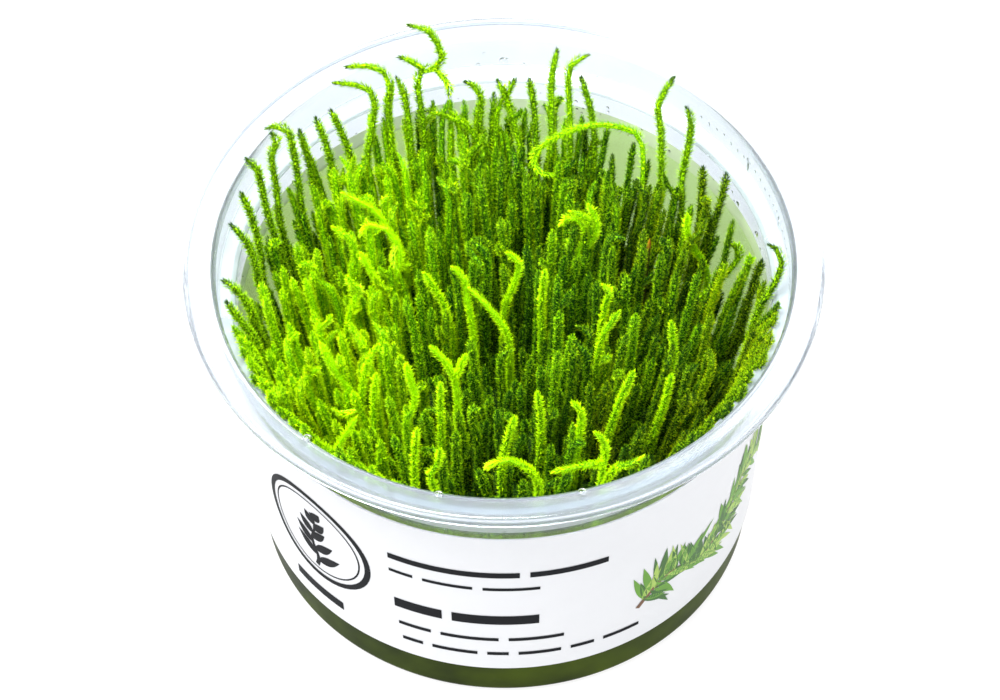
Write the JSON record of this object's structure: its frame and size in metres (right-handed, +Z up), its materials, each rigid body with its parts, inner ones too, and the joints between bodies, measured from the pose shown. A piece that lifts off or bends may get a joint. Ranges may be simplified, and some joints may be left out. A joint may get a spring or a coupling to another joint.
{
  "type": "tissue culture flame moss",
  "caption": "Tissue-cultured flame moss: upright lime-green shoots on nutrient gel in an open round clear cup with a printed film label round it.",
  "frame": {"origin": "centre of the cup on the surface it stands on", "axes": "+Z up along the cup's axis; the front, which the picture looks down on, is towards -Y"},
  "size_m": [0.101, 0.101, 0.0752],
  "materials": {
    "cup_plastic": "clear, slightly milky moulded plastic",
    "label_film": "satin printed white film",
    "gel": "wet translucent gel",
    "moss": "soft, leafy, moist"
  },
  "bodies": {
    "root": {"cup": "cup_plastic", "label": "label_film", "gel": "gel", "moss_turf": "moss", "ring_shoot": "moss", "diagonal_shoot": "moss", "small_hook": "moss", "long_hook": "moss", "low_hook": "moss", "twin_tip": "moss", "fork_left": "moss", "fork_right": "moss", "straight_shoot": "moss", "cluster_left": "moss", "cluster_middle": "moss", "cluster_right": "moss", "long_curl": "moss", "right_tall": "moss", "right_thin": "moss", "right_blunt": "moss", "right_leaning": "moss", "right_curl": "moss", "right_bright": "moss", "rim_hook_right": "moss", "rim_straight_right": "moss", "left_hook": "moss", "left_kinked": "moss", "left_lean_back": "moss", "left_lean_middle": "moss", "left_lean_front": "moss", "left_low_back": "moss", "left_low_front": "moss", "left_tip_front": "moss", "left_tip_middle": "moss", "left_tip_back": "moss", "curl_head": "moss", "knob_head": "moss", "zigzag_shoot": "moss", "crooked_shoot": "moss", "crooked_fork": "moss", "bent_tip": "moss", "plume_shoot": "moss", "sabre_shoot": "moss", "sabre_leg": "moss", "twisted_shoot": "moss", "vee_left": "moss", "front_arch": "moss", "front_head": "moss", "front_hook": "moss", "ring_hook": "moss", "ring_branch": "moss", "fork_right_tip": "moss", "plume_branch": "moss", "vee_right": "moss", "front_flat": "moss"}
  },
  "joints": []
}
